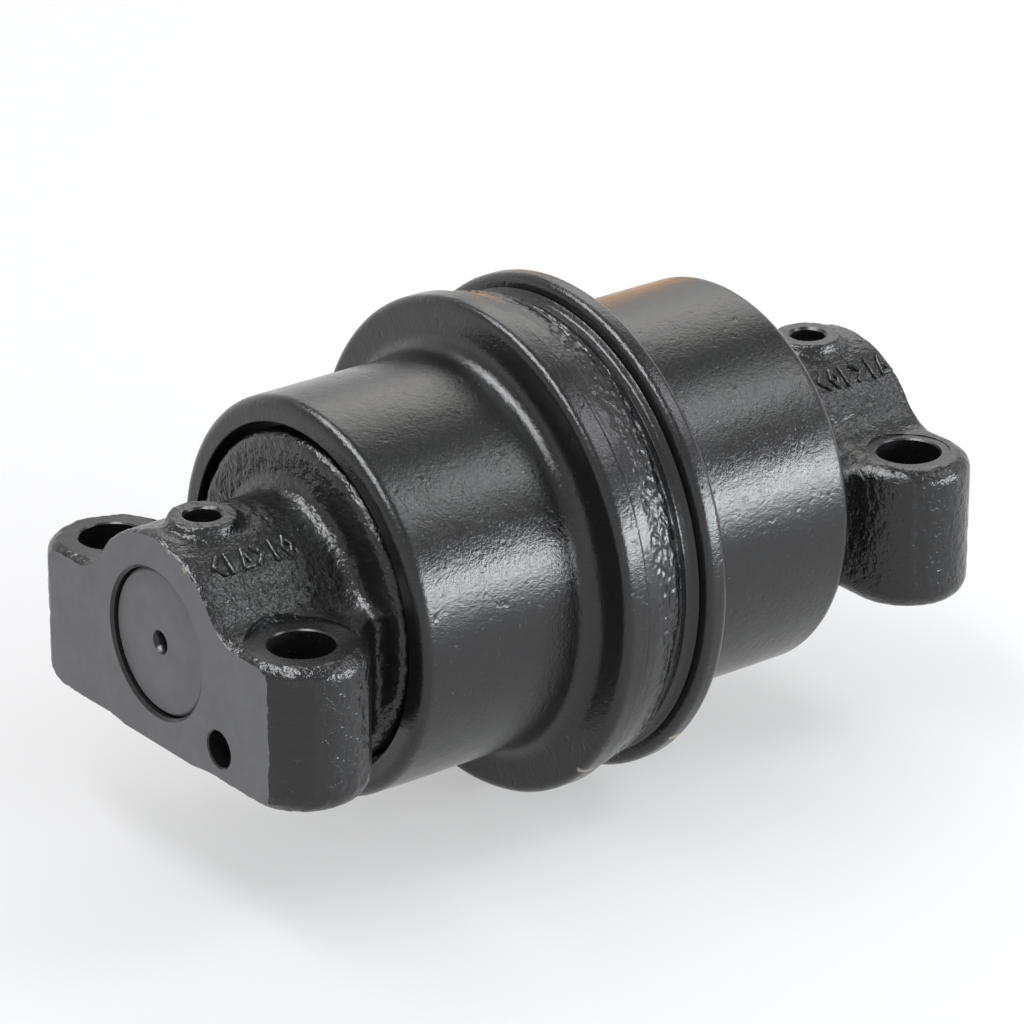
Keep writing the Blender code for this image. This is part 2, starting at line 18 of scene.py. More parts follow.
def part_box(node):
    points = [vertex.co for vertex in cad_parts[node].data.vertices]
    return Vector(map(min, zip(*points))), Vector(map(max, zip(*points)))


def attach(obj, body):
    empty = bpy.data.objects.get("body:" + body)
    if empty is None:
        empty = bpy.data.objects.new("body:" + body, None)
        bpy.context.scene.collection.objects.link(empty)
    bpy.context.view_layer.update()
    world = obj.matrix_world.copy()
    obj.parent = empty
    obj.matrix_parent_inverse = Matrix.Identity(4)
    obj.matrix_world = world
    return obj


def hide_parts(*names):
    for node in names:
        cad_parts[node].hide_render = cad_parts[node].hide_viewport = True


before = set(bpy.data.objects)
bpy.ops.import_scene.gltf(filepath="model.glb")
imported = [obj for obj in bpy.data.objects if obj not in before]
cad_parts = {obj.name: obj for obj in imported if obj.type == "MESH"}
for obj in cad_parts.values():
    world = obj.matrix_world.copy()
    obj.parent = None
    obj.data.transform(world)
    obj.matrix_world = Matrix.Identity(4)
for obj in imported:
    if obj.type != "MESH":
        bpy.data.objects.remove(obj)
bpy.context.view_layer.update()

# %% [markdown]
# The sizes
#
# All shapes below are worked out in millimetres. X runs across the collars' ears, Y along the shaft
# and Z up. Both ends are built the same way, so a length along the shaft is called "out": its
# distance from the roller's middle. The sizes repeat the CAD model's, and the biggest ones are
# read from its boxes, which shows at once if the two ever part.

# %% Sizes in millimetres
MM = 0.001


def reach_of(node, axis):
    """How far a CAD node goes along an axis, in millimetres."""
    low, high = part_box(node)
    return 1000 * max(abs(low[axis]), abs(high[axis]))


FLANGE = reach_of("shell_half_rear", 0)  # the flanges' radius
SHELL_END = reach_of("shell_half_rear", 1)
FACE = reach_of("collar_rear", 1)  # a collar's machined outer face
SHAFT_END = reach_of("shaft", 1)
EAR_END = reach_of("collar_rear", 0)
DISC = reach_of("collar_rear", 2)
SHAFT = reach_of("shaft", 0)
TREAD = 68.2
MOUTH = 59.5
MOUTH_FLOOR = 77.0
SEAL_HOUSING = 41.0
SHELL_SEAL_FLOOR = 68.0
COLLAR_SEAL_FLOOR = 87.0
FLANGE_INNER_FACE = 12.5
FLANGE_OUTER_FACE = 21.5
GROOVE_TOP = 78.0
GROOVE_ROOT = 66.0
WELD_EDGE = 12.2
BOSS = 38.0
SPIGOT = 31.0
SPIGOT_END = 66.4
BORE = 25.3
DISC_BACK = 78.0
DISC_FRONT = 91.5
EAR_RADIUS = 21.5
EAR_TOP = 14.5
PAD = -36.0
BOLT_X = 53.5
BOLT_HOLE = 11.0
SPOT_FACE = 18.5
SPOT_Z = 14.0
HOLE_OUT = 127.5
NUB_RADIUS = 12.0
NUB_TOP = 40.5
PIN_HOLE = 6.0
PLUG_X = 34.5
PLUG_Z = -24.5
PLUG_RADIUS = 5.9
PLUG_FRONT = 139.0
PLUG_BACK = 129.3
print(f"flange {FLANGE:.1f}, shell end {SHELL_END:.1f}, face {FACE:.1f}, shaft end {SHAFT_END:.1f}")
print(f"ear end {EAR_END:.1f}, disc {DISC:.1f}, shaft {SHAFT:.1f}")

# %% [markdown]
# From arrays to a mesh
#
# Blender could turn or extrude each piece with a modifier. Here every surface is an array of
# points instead, because then a forged or cast skin can be moved anywhere by a formula. One
# function puts such arrays into a mesh. It also measures the volume that the faces enclose: if it
# comes out negative the faces look inwards, and they are turned round.

# %% Mesh from arrays
SHARP = radians(38)


def fill_mesh(name, points, face_sets):
    """A mesh of these points, in millimetres, and of arrays of faces with one row of corners each.
    The volume is a sixth of the sum of a . (b x c) over all triangles a, b, c."""
    fans = [f[:, [0, i, i + 1]] for f in face_sets for i in range(1, f.shape[1] - 1)]
    a, b, c = (points[np.concatenate(fans)[:, i]] for i in range(3))
    volume = np.einsum("ij,ij->i", a, np.cross(b, c)).sum() / 6
    if volume < 0:
        face_sets = [f[:, ::-1] for f in face_sets]
    corners = np.concatenate([f.ravel() for f in face_sets]).astype(np.int32)
    sizes = np.concatenate([np.full(len(f), f.shape[1]) for f in face_sets])
    starts = np.concatenate([[0], np.cumsum(sizes)[:-1]]).astype(np.int32)
    mesh = bpy.data.meshes.new(name)
    mesh.vertices.add(len(points))
    mesh.vertices.foreach_set("co", (points * MM).astype(np.float32).ravel())
    mesh.loops.add(len(corners))
    mesh.loops.foreach_set("vertex_index", corners)
    mesh.polygons.add(len(sizes))
    mesh.polygons.foreach_set("loop_start", starts)
    mesh.update(calc_edges=True)
    mesh.shade_smooth()
    mesh.set_sharp_from_angle(angle=SHARP)
    obj = bpy.data.objects.new(name, mesh)
    bpy.context.scene.collection.objects.link(obj)
    print(f"{name}: {len(points)} points, {len(sizes)} faces, {abs(volume) / 1000:.1f} cm3")
    return obj


# %% [markdown]
# Turned shapes
#
# The shell, the shaft and most other pieces are turned or forged round: an outline carried round
# an axis. The outline is a short list of corners, each with the radius of its rounding and the
# spacing of the points after it, so that seen stretches are fine and hidden ones are coarse.

# %% Outlines and turned shapes
def outline_of(corners, closed=True):
    """Points along an outline. Each corner is (radius, out, rounding, step): its rounding becomes an
    arc between the two points where a circle of that radius touches both sides, and the stretch
    after it is divided into equal parts no longer than step."""
    corner = np.array([c[:2] for c in corners], float)
    count = len(corners)
    starts, ends, arcs = corner.copy(), corner.copy(), {}
    for i, (_, _, rounding, step) in enumerate(corners):
        if not rounding or (not closed and i in (0, count - 1)):
            continue
        back = corner[i - 1] - corner[i]
        ahead = corner[(i + 1) % count] - corner[i]
        back, ahead = back / np.linalg.norm(back), ahead / np.linalg.norm(ahead)
        half = np.arccos(np.clip(back @ ahead, -1, 1)) / 2
        middle = corner[i] + (back + ahead) / np.linalg.norm(back + ahead) * rounding / np.sin(half)
        starts[i] = corner[i] + back * rounding / np.tan(half)
        ends[i] = corner[i] + ahead * rounding / np.tan(half)
        first = np.arctan2(*(starts[i] - middle)[::-1])
        turn = np.arctan2(*(ends[i] - middle)[::-1]) - first
        turn = (turn + pi) % (2 * pi) - pi
        steps = max(5, int(np.ceil(abs(turn) * rounding / min(step, 0.8))))
        angle = first + turn * np.arange(1, steps) / steps
        arcs[i] = middle + rounding * np.stack([np.cos(angle), np.sin(angle)], 1)
    rows = []
    for i, (_, _, _, step) in enumerate(corners):
        rows.append(starts[i : i + 1])
        if i in arcs:
            rows += [arcs[i], ends[i : i + 1]]
        if i < count - 1 or closed:
            span = starts[(i + 1) % count] - ends[i]
            steps = max(1, int(np.ceil(np.linalg.norm(span) / step)))
            rows.append(ends[i] + span * (np.arange(1, steps) / steps)[:, None])
    return np.concatenate(rows)


def ring_faces(rows, turns, closed):
    """Four-cornered faces between each pair of neighbouring rows of a grid that closes round its turns,
    and round its rows too if it is closed."""
    row = np.arange(rows if closed else rows - 1)[:, None]
    turn = np.arange(turns)[None, :]
    after, beside = (row + 1) % rows, (turn + 1) % turns
    corners = [row * turns + turn, after * turns + turn, after * turns + beside, row * turns + beside]
    return np.stack([c.ravel() for c in corners], 1)


def turned(name, outline, turns, side=1, skin=None, closed=True, shape=None):
    """Carries an outline of (radius, out) round the Y axis: x = r cos a, y = side out, z = r sin a.
    skin(points) gives a small height that moves each point along the outline's normal, and
    shape(row, angle) a factor for the radius. An outline that isn't closed starts and ends on
    the axis, where its first and last row become one point each."""
    angle = 2 * pi * np.arange(turns) / turns
    radius = np.repeat(outline[:, :1], turns, 1)
    out = np.repeat(outline[:, 1:], turns, 1)
    if shape is not None:
        radius = radius * shape(np.arange(len(outline))[:, None], angle[None, :])
    if skin is not None:
        along = np.roll(outline, -1, 0) - np.roll(outline, 1, 0)
        along /= np.maximum(np.linalg.norm(along, axis=1, keepdims=True), 1e-9)
        area = np.sum(outline[:, 0] * np.roll(outline[:, 1], -1) - np.roll(outline[:, 0], -1) * outline[:, 1])
        normal = np.stack([along[:, 1], -along[:, 0]], 1) * np.sign(area)
        still = np.stack([radius * np.cos(angle), side * out, radius * np.sin(angle)], -1)
        height = skin(still)
        radius = radius + normal[:, :1] * height
        out = out + normal[:, 1:] * height
    points = np.stack([radius * np.cos(angle), side * out, radius * np.sin(angle)], -1)
    if closed:
        return fill_mesh(name, points.reshape(-1, 3), [ring_faces(len(outline), turns, True)])
    body = points[1:-1].reshape(-1, 3)
    poles = np.stack([points[0, 0], points[-1, 0]])
    first = np.arange(turns)
    last = first + (len(outline) - 3) * turns
    beside = (first + 1) % turns
    caps = [
        np.stack([np.full(turns, len(body)), first, beside], 1),
        np.stack([np.full(turns, len(body) + 1), beside + last[0], last], 1),
    ]
    faces = [ring_faces(len(outline) - 2, turns, False), *caps]
    return fill_mesh(name, np.concatenate([body, poles]), faces)


# %% [markdown]
# Random heights
#
# Real skins are never quite even. Forged steel carries soft dents, sand castings carry the grain of
# their mould, and a weld bead is a row of frozen ripples. All of them start from the same thing:
# random numbers on a cubic lattice, blended smoothly in between. It works at any point in space,
# so a pattern closes on itself round a roller without a seam.

# %% Random heights
def lumps(points, size, seed):
    """A smooth random height between -1 and 1 at each point, with bumps about this size. Each lattice
    corner has a random number, and the eight round a point are blended by 3t^2 - 2t^3."""
    table = np.random.default_rng(seed).uniform(-1, 1, (32, 32, 32)).astype(np.float32)
    place = points.astype(np.float32) / size
    low = np.floor(place).astype(np.int32)
    part = place - low
    part = part * part * (3 - 2 * part)
    total = np.zeros(points.shape[:-1], np.float32)
    for corner in np.ndindex(2, 2, 2):
        at = (low + np.array(corner, np.int32)) % 32
        weight = np.prod(np.where(corner, part, 1 - part), axis=-1)
        total += weight * table[at[..., 0], at[..., 1], at[..., 2]]
    return total


def creases(points, size, seed):
    """Winding ridges, as sand leaves them: 1 on a ridge and falling to -1 beside it, which is one minus
    twice the size of two blended heights."""
    field = lumps(points, size, seed) + 0.5 * lumps(points, size / 2, seed + 1)
    return 1 - 4 * np.minimum(np.abs(field), 0.5)


def ramp(value, low, high):
    """0 up to low and 1 from high, with a smooth rise between."""
    t = np.clip((value - low) / (high - low), 0, 1)
    return t * t * (3 - 2 * t)


# %% [markdown]
# The forged shell halves
#
# Each half is a tread, which the chain's links roll on, and a flange that keeps the chain in line.
# A forging has generous rounding, so the outline rounds the tread's end, the foot of the flange and
# its rim. A turned outline is the natural choice. Its skin gets soft dents of a few hundredths of a
# millimetre: too small to measure, but they break up the long highlights, as on the real part.

# %% Forged shell halves
def forged_skin(points):
    """Soft dents and a finer grain. They only go inwards, so that the shell keeps its size."""
    wide = 0.05 * lumps(points, 17, 11) + 0.035 * lumps(points, 7, 12) + 0.018 * lumps(points, 3, 13)
    return np.minimum(wide - 0.1, 0)


def shell_outline(inner_round):
    """A half's outline: rim, inner face, groove, bore, seal housing, mouth, tread and flange."""
    return outline_of(
        [
            (TREAD, SHELL_END, 4.2, 0.95),
            (TREAD, FLANGE_OUTER_FACE, 7.0, 0.8),
            (FLANGE, FLANGE_OUTER_FACE, 3.2, 0.8),
            (FLANGE, FLANGE_INNER_FACE, inner_round, 1.0),
            (GROOVE_TOP, FLANGE_INNER_FACE, 0, 4),
            (GROOVE_ROOT, 2.0, 0, 2),
            (GROOVE_ROOT, 0.15, 0, 20),
            (34.3, 0.15, 0, 12),
            (34.3, 24.0, 0, 4),
            (30.3, 24.0, 0, 20),
            (30.3, 61.7, 0, 6),
            (36.3, 61.7, 0, 6),
            (36.3, SHELL_SEAL_FLOOR, 0, 5),
            (SEAL_HOUSING, SHELL_SEAL_FLOOR, 0, 5),
            (SEAL_HOUSING, MOUTH_FLOOR, 0, 9),
            (MOUTH, MOUTH_FLOOR, 0, 1.5),
            (MOUTH, SHELL_END, 0.6, 0.9),
        ]
    )


shell_front = turned("forged_shell_front", shell_outline(0.6), 620, -1, forged_skin)
shell_rear = turned("forged_shell_rear", shell_outline(3.2), 620, 1, forged_skin)

# %% [markdown]
# The weld between the halves
#
# The halves are joined by a machine weld all the way round. Beside the front flange it was dressed
# almost flush, then comes the raw bead with its frozen ripples and pits, then one or two
# wandering creases where passes overlap, and last a smooth valley up to the rear flange. A flat
# texture would give none of the glints, so the bead is real shape: a grid across and round the weld.

# %% Weld bead
def weld_height(points):
    """What the bead adds to its profile: ripples and pits inside the raw strip, creases on
    two wandering lines, and a soft unevenness everywhere."""
    across = points[..., 1]
    around = np.arctan2(points[..., 2], points[..., 0])
    drift = 1.4 * np.sin(3 * (radians(61) - around)) + 0.7 * np.sin(7 * around + 1)
    line = points * [1, 0, 1]
    wander = drift + 0.6 * lumps(line, 14, 31)
    left = -5.6 - 1.5 * drift + 0.8 * lumps(line, 6, 32)
    strip = ramp(across, left - 0.8, left + 0.8) * (1 - ramp(across, 2.6 + wander, 3.8 + wander))
    flow = points * [1, 1.9, 1]
    rough = 0.6 * creases(flow, 4.2, 34) + 0.45 * lumps(flow, 2.6, 36) + 0.2 * lumps(points, 1.3, 37)
    height = strip * (0.33 * rough - 0.1)
    for middle, depth, width, seed in ((2.9, 1.2, 0.5, 41), (5.6, 1.0, 0.5, 44)):
        path = middle + wander + 0.5 * lumps(line, 4, seed)
        strength = ramp(lumps(line, 26, seed + 1), -0.6, 0.0)
        height = height - depth * strength * np.exp(-(((across - path) / width) ** 2))
    dressed = 1 - ramp(across, -4.5, -2)
    height = height + 0.14 * lumps(points, 8, 38) + 0.05 * (1 - dressed) * lumps(points, 2.2, 39)
    return height


def weld_piece():
    """A grid with its rows across the weld. The top rows follow a profile through a few measured
    radii, with a cosine blend between them, and carry the bead. The others close it at the root."""
    across = np.linspace(-WELD_EDGE, WELD_EDGE, 62)
    profile_y = [-12.2, -11.6, -8.0, -3.0, 1.0, 4.5, 6.5, 8.5, 10.5, 12.2]
    profile_r = [84.3, 84.6, 84.3, 83.5, 82.6, 81.4, 79.8, 79.0, 79.6, 81.2]
    place = np.interp(across, profile_y, np.arange(len(profile_y)))
    low = np.minimum(place.astype(int), len(profile_y) - 2)
    part = place - low
    part = part * part * (3 - 2 * part) * 0.35 + part * 0.65
    radius = np.take(profile_r, low) * (1 - part) + np.take(profile_r, low + 1) * part
    top = np.stack([radius, across], 1)
    root = np.array([(GROOVE_TOP, WELD_EDGE), (GROOVE_ROOT + 0.3, 1.7),
                     (GROOVE_ROOT + 0.3, -1.7), (GROOVE_TOP, -WELD_EDGE)])
    outline = np.concatenate([top, root])
    turns = 1150
    angle = 2 * pi * np.arange(turns) / turns
    base = outline[:, :1] + 0 * angle
    points = np.stack([base * np.cos(angle), outline[:, 1:] + 0 * angle, base * np.sin(angle)], -1)
    lift = weld_height(points[: len(top)])
    ends = np.minimum(ramp(across, -12.2, -11.4), 1 - ramp(across, 11.0, 12.2))[:, None]
    base[: len(top)] += lift * ends
    points = np.stack([base * np.cos(angle), outline[:, 1:] + 0 * angle, base * np.sin(angle)], -1)
    return fill_mesh("weld_bead", points.reshape(-1, 3), [ring_faces(len(outline), turns, True)])


weld = weld_piece()

# %% [markdown]
# The cast collars: a skin round a formula
#
# A collar is a sand casting: boss, disc, web, saddle and nub flow into each other through soft
# fillets, and the sand leaves a worm-like grain. A grid of parameters can't cover such a branched
# shape, and Booleans between rounded boxes would leave hard seams where the mould had none. So this
# piece is made another way. Each part is a distance function, negative inside, and a blend joins
# two of them with a fillet of a given radius. The surface where the blend is zero is then skinned.

# %% Distances
def meet(a, b, rounding):
    """The overlap of two distances, its edge rounded: hypot(max(a + r, 0), max(b + r, 0)) - r outside."""
    a, b = a + rounding, b + rounding
    return np.hypot(np.maximum(a, 0), np.maximum(b, 0)) + np.minimum(np.maximum(a, b), 0) - rounding


def join(a, b, fillet):
    """The union of two distances with a fillet in the corner: max(r, min(a, b)) - hypot(r - a, r - b),
    where r - a and r - b count only while positive."""
    corner = np.hypot(np.maximum(fillet - a, 0), np.maximum(fillet - b, 0))
    return np.maximum(fillet, np.minimum(a, b)) - corner


def between(value, low, high):
    return np.abs(value - (low + high) / 2) - (high - low) / 2


def casting(points, ground_patch=False):
    """The distance to a collar's casting before any machining. points hold (x, out, z)."""
    x, out, z = np.abs(points[..., 0]), points[..., 1], points[..., 2]
    round_shaft = np.hypot(x, z)
    boss = meet(round_shaft - BOSS, between(out, 80, FACE + 1.2), 3.0)
    disc = meet(round_shaft - DISC, between(out, DISC_BACK, DISC_FRONT), 4.5)
    spigot = meet(round_shaft - SPIGOT, between(out, SPIGOT_END, 90), 0.5)
    plan = np.hypot(np.maximum(x - BOLT_X, 0), out - HOLE_OUT) - EAR_RADIUS
    saddle = meet(plan, between(z, PAD - 1.5, EAR_TOP), np.where(z > -10, 6.0, 7.5))
    side = (x - 42.5 - 1.057 * (out - DISC_FRONT)) * 0.687
    web = np.maximum(meet(side, between(z, -32, 12.5), 6.0), between(out, 88, 112))
    nub = meet(np.hypot(x, out - HOLE_OUT) - NUB_RADIUS, between(z, 0, NUB_TOP), 1.4)
    body = join(boss, disc, 6.0)
    body = join(body, join(saddle, web, 5.0), 7.0)
    body = np.minimum(join(body, nub, 2.5), spigot)
    if ground_patch:
        flat = (points[..., 0] - BOLT_X) * 0.7071 + (out - HOLE_OUT) * 0.7071 - 20.4
        body = np.maximum(body, flat - 1.6 * (1 - ramp(z, -20, -15) * (1 - ramp(z, 9, 12))))
    return body


# %% [markdown]
# Skinning a distance
#
# The space round a collar is divided into small cubes. A cube whose corners aren't all on one side
# holds a piece of the surface, and gets one point: the average of the places where the surface
# crosses its edges. Each crossed edge then joins its four cubes with a face. The points are moved
# onto the exact surface by Newton's method: a step of minus the distance along the gradient.

# %% Skin round a distance function
def skin_of(distance, low, high, step):
    """(points, faces) of the surface where distance(points) is zero, between two corners."""
    axes = [np.arange(a, b, step) for a, b in zip(low, high)]
    grid = np.stack(np.meshgrid(*axes, indexing="ij"), -1)
    value = distance(grid)
    shape = np.array(value.shape) - 1
    total, count, crossed = np.zeros((*shape, 3)), np.zeros(shape), []
    for axis in range(3):
        u, v = (axis + 1) % 3, (axis + 2) % 3
        near = [slice(None)] * 3
        far = [slice(None)] * 3
        near[axis], far[axis] = slice(None, -1), slice(1, None)
        a, b = value[tuple(near)], value[tuple(far)]
        cut = (a < 0) != (b < 0)
        place = grid[tuple(near)].copy()
        place[..., axis] += step * np.where(cut, a / np.where(cut, a - b, 1), 0)
        crossed.append((axis, u, v, cut, a < 0))
        for du in (0, 1):
            for dv in (0, 1):
                part = [slice(None)] * 3
                part[u], part[v] = slice(du, shape[u] + du), slice(dv, shape[v] + dv)
                total += place[tuple(part)] * cut[tuple(part)][..., None]
                count += cut[tuple(part)]
    number = np.full(shape, -1)
    used = count > 0
    number[used] = np.arange(used.sum())
    faces = []
    for axis, u, v, cut, outward in crossed:
        at = np.stack(np.nonzero(cut), 1)
        outward = outward[tuple(at.T)]
        corners = []
        for du, dv in ((1, 1), (0, 1), (0, 0), (1, 0)):
            cell = at.copy()
            cell[:, u] -= du
            cell[:, v] -= dv
            corners.append(number[tuple(cell.T)])
        quad = np.stack(corners, 1)
        faces += [quad[outward], quad[~outward][:, ::-1]]
    return total[used] / count[used][:, None], np.concatenate(faces)


def settle_on(points, distance, rounds=4):
    """Moves the points onto the surface where the distance is zero, by steps of -d g / |g|^2."""
    for _ in range(rounds):
        away = distance(points)
        slope = np.empty_like(points)
        for axis in range(3):
            shift = np.eye(3)[axis] * 0.05
            slope[:, axis] = (distance(points + shift) - distance(points - shift)) / 0.1
        size = np.maximum((slope**2).sum(1), 0.3)
        points = points - (np.clip(away, -0.5, 0.5) / size)[:, None] * slope
    return points


# %% [markdown]
# Machining the castings
#
# After casting, only the working surfaces are machined: the outer face, the pad, the bore, the seal
# housing, the spot-faced bolt holes and the holes for pin and plug. The model does the same, with
# Booleans, so each machined edge is crisp against the grain. The cutters are turned shapes with
# their chamfers drawn in, and they are removed once their cuts are made.

# %% Cutters
def cutter(name, outline, turns, side, axis="Y", centre=(0, 0)):
    """A turned cutter on the shaft's axis, or on an upright one. centre is (x, z), or (x, out)."""
    obj = turned(name, np.array(outline, float), turns, 1, closed=False)
    if axis == "Z":
        obj.data.transform(Matrix.Rotation(radians(90), 4, "X"))
        obj.data.transform(Matrix.Translation((centre[0] * MM, side * centre[1] * MM, 0)))
    else:
        obj.data.transform(Matrix.Translation((centre[0] * MM, 0, centre[1] * MM)))
        if side < 0:
            obj.data.transform(Matrix.Scale(-1, 4, (0, 1, 0)))
            obj.data.flip_normals()
    return obj


def block_cutter(name, low, high):
    """A box between two corners, in millimetres."""
    corner = np.array([[(low, high)[i][0], (low, high)[j][1], (low, high)[k][2]]
                       for i in (0, 1) for j in (0, 1) for k in (0, 1)], float)
    sides = np.array([(0, 1, 3, 2), (4, 6, 7, 5), (0, 4, 5, 1), (2, 3, 7, 6), (0, 2, 6, 4), (1, 5, 7, 3)])
    return fill_mesh(name, corner, [sides])


def carve(obj, cutters):
    """Cuts the cutters out of the piece, keeps the result as its mesh and removes the cutters."""
    for tool in cutters:
        step = obj.modifiers.new(tool.name, "BOOLEAN")
        step.operation = "DIFFERENCE"
        step.solver = "MANIFOLD"
        step.object = tool
    bpy.context.view_layer.update()
    graph = bpy.context.evaluated_depsgraph_get()
    mesh = bpy.data.meshes.new_from_object(obj.evaluated_get(graph))
    obj.modifiers.clear()
    old, obj.data = obj.data, mesh
    bpy.data.meshes.remove(old)
    for tool in cutters:
        bpy.data.meshes.remove(tool.data)
    mesh.shade_smooth()
    mesh.set_sharp_from_angle(angle=SHARP)
    mesh.calc_loop_triangles()
    print(f"{obj.name}: {len(mesh.loop_triangles)} triangles after machining")


# %% Collars
GRID = 1.1  # the size of the cubes


def collar(name, side, seed, has_plug, rough):
    """One collar: skin the casting, roughen it and carve the machined surfaces."""

    def grained(points):
        place = points * [1, side, 1]
        grain = 0.12 * lumps(place, 6.0, seed) + 0.14 * creases(place, 3.3, seed + 1)
        return casting(points, has_plug) + 0.25 - grain * rough

    points, faces = skin_of(lambda at: casting(at, has_plug) + 0.25, (-78, 64, -60), (78, 152, 60), GRID)
    points = settle_on(points, grained)
    obj = fill_mesh(name, points * [1, side, 1], [faces])
    far = FACE + 20
    cuts = [
        cutter("face", [(0, FACE), (130, FACE), (130, far), (0, far)], 64, side),
        cutter("bore", [(0, 60), (BORE, 60), (BORE, FACE - 1), (BORE + 11, far - 10), (0, far - 10)],
               128, side),
        cutter("pin", [(0, 10), (PIN_HOLE, 10), (PIN_HOLE, 39.4), (PIN_HOLE + 3, 42.4), (0, 42.4)], 64, side,
               "Z", (0, HOLE_OUT)),
    ]
    low, high = sorted((side * 106.0, side * far))
    cuts.append(block_cutter("pad", (-90, low, -70), (90, high, PAD)))
    ring = [(SPIGOT - 0.1, 70), (SEAL_HOUSING, 70),
            (SEAL_HOUSING, COLLAR_SEAL_FLOOR), (SPIGOT - 0.1, COLLAR_SEAL_FLOOR)]
    housing = turned("housing", np.array(ring, float), 96, side)
    cuts.append(housing)
    spot = SPOT_FACE if has_plug else SPOT_FACE - 4
    for ear in (-1, 1):
        hole = [(0, -50), (BOLT_HOLE + 14.6, -50), (BOLT_HOLE, PAD + 0.6), (BOLT_HOLE, SPOT_Z - 0.5),
                (BOLT_HOLE + 0.5, SPOT_Z), (spot, SPOT_Z), (spot, 45), (0, 45)]
        cuts.append(cutter(f"bolt{ear}", hole, 96, side, "Z", (ear * BOLT_X, HOLE_OUT)))
    if has_plug:
        seat_radius = PLUG_RADIUS + 0.3
        seat = [(0, 129), (seat_radius, 129), (seat_radius, FACE - 0.5),
                (PLUG_RADIUS + 5, FACE + 4.2), (0, FACE + 4.2)]
        cuts.append(cutter("seat", seat, 64, side, "Y", (PLUG_X, PLUG_Z)))
    carve(obj, cuts)
    return obj


collar_front = collar("cast_collar_front", -1, 51, True, 1.0)
collar_rear = collar("cast_collar_rear", 1, 61, False, 0.6)

# %% [markdown]
# Which faces are machined
#
# The material slots follow the machining. A face on the outer face, the pad, a spot face or inside a
# hole gets the smooth finish, and every other face the sand-cast one. The test is where the
# face's middle lies, for all faces at once.

# %% Faces of the collars
def mark_machined(obj, side):
    """Gives material index 1 to the milled outer face of a collar, 2 to bored faces, 3 to the ground patch
    on the front collar's ear and 0 to the cast skin. The machined planes are shaded flat."""
    mesh = obj.data
    middle = np.empty(len(mesh.polygons) * 3, np.float32)
    normal = np.empty(len(mesh.polygons) * 3, np.float32)
    mesh.polygons.foreach_get("center", middle)
    mesh.polygons.foreach_get("normal", normal)
    x, out, z = (middle.reshape(-1, 3) * [1, side, 1] / MM).T
    away = normal.reshape(-1, 3)
    on_face = out > FACE - 0.05
    on_pad = (z < PAD + 0.05) & (out > 106)
    bolt = np.hypot(np.abs(x) - BOLT_X, out - HOLE_OUT)
    on_spot = (bolt < SPOT_FACE + 0.1) & (np.abs(z - SPOT_Z) < 0.3) & (away[:, 2] > 0.9)
    in_bolt = (bolt < BOLT_HOLE + 0.7) & (z < SPOT_Z + 0.1)
    in_bore = np.hypot(x, z) < BORE + 1.3
    in_pin = (np.hypot(x, out - HOLE_OUT) < PIN_HOLE + 0.9) & (z > 25)
    in_seat = (np.hypot(x - PLUG_X, z - PLUG_Z) < PLUG_RADIUS + 1.2) & (out > 128)
    holes = on_pad | on_spot | in_bolt | in_bore | in_pin | in_seat
    on_patch = (np.abs((x - BOLT_X + out - HOLE_OUT) * 0.7071 - 20.1) < 0.7) & (np.abs(z + 4) < 13)
    index = np.where(on_face, 1, np.where(holes, 2, np.where(on_patch & (side < 0), 3, 0))).astype(np.int32)
    mesh.polygons.foreach_set("material_index", index)
    mesh.polygons.foreach_set("use_smooth", ~(on_face | on_pad | on_spot))
    mesh.update()
    print(f"{obj.name}: {on_face.sum()} faces milled, {holes.sum()} bored, of {len(index)}")


mark_machined(collar_front, -1)
mark_machined(collar_rear, 1)

# %% [markdown]
# Raised foundry marks
#
# Both bosses carry a short row of raised marks, pressed into the mould by a pattern plate. These are
# generic ones: a diamond, two bars, two chevrons and a triangle. Each stroke is a round bar along
# a line on the boss, half sunk in it, which is how a worn pattern's strokes look.

# %% Foundry marks
MARKS = [
    [(-1.6, 0), (0, 3.5), (1.6, 0), (0, -3.5), (-1.6, 0)],
    [(0, -3.6), (0, 3.6)],
    [(-1.5, -3.3), (1.3, 0), (-1.5, 3.3)],
    [(-1.7, -3.1), (1.7, -3.1), (0, 3.3), (-1.7, -3.1)],
    [(-1.1, 3.4), (-1.1, -3.4)],
    [(1.4, -3.3), (-1.4, 0), (1.4, 3.3)],
]
MARK_ANGLE = radians(56.5)


def stroke(start, end, radius, sides=10, rows=7):
    """A bar with rounded ends between two points: its radius is r sqrt(1 - t^2) over each end's length r."""
    along = end - start
    length = np.linalg.norm(along)
    along = along / length
    aside = np.cross(along, [0.3, 0.5, 0.8])
    aside /= np.linalg.norm(aside)
    other = np.cross(along, aside)
    arc = np.linspace(0.25, pi / 2, rows)
    place = np.concatenate([-radius * np.cos(arc), length + radius * np.cos(arc[::-1])])
    width = np.concatenate([radius * np.sin(arc), radius * np.sin(arc[::-1])])
    turn = 2 * pi * np.arange(sides) / sides
    ring = aside * np.cos(turn)[:, None] + other * np.sin(turn)[:, None]
    points = start + along * place[:, None, None] + ring * width[:, None, None]
    tips = np.stack([start - along * radius, end + along * radius])
    first = np.arange(sides)
    beside = (first + 1) % sides
    last = (2 * rows - 1) * sides
    count = 2 * rows * sides
    caps = np.concatenate([np.stack([np.full(sides, count), beside, first], 1),
                           np.stack([np.full(sides, count + 1), first + last, beside + last], 1)])
    return np.concatenate([points.reshape(-1, 3), tips]), ring_faces(2 * rows, sides, False), caps


